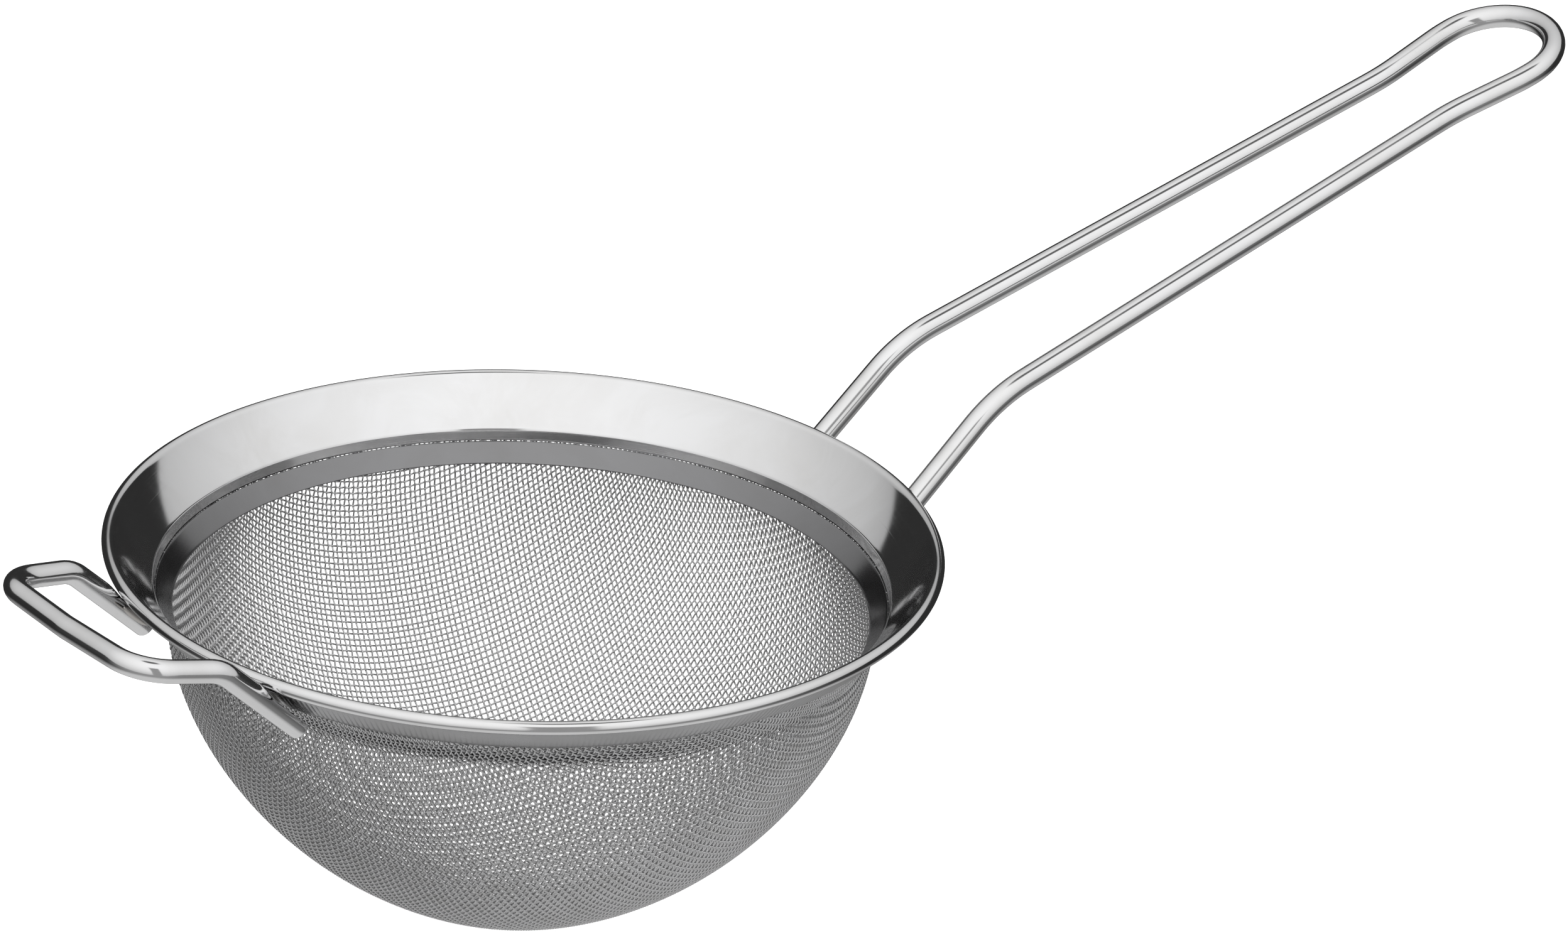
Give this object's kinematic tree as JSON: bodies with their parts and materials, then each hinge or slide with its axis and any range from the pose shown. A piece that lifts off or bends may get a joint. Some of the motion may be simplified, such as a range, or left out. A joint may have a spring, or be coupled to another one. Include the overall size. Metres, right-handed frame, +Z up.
{
  "type": "hand strainer",
  "caption": "Stainless steel hand strainer: round woven wire bowl in a dished rim with a rolled edge, a long hairpin wire handle with a hanging loop, and a bent wire rest.",
  "frame": {"origin": "centre of the small flat foot at the bottom of the mesh bowl", "axes": "+Z up, square to the rim, which is level; +X from the bowl's axis towards the handle; the XZ plane halves the strainer"},
  "size_m": [0.3083, 0.14, 0.116],
  "materials": {
    "polished_rim": "mirror-polished stainless steel",
    "satin_band": "satin stainless steel strip",
    "satin_skirt": "satin stainless steel strip with fine upright marks",
    "woven_steel": "plain-woven bright stainless steel wire",
    "polished_wire": "polished drawn stainless steel wire",
    "weld_metal": "cleaned spot weld metal"
  },
  "bodies": {
    "root": {"rim_flange": "polished_rim", "inner_band": "satin_band", "clamp_skirt": "satin_skirt", "mesh_basket": "woven_steel", "handle_wire": "polished_wire", "front_rest_wire": "polished_wire", "handle_weld_left": "weld_metal", "handle_weld_right": "weld_metal", "rest_weld_left": "weld_metal", "rest_weld_right": "weld_metal"}
  },
  "joints": []
}
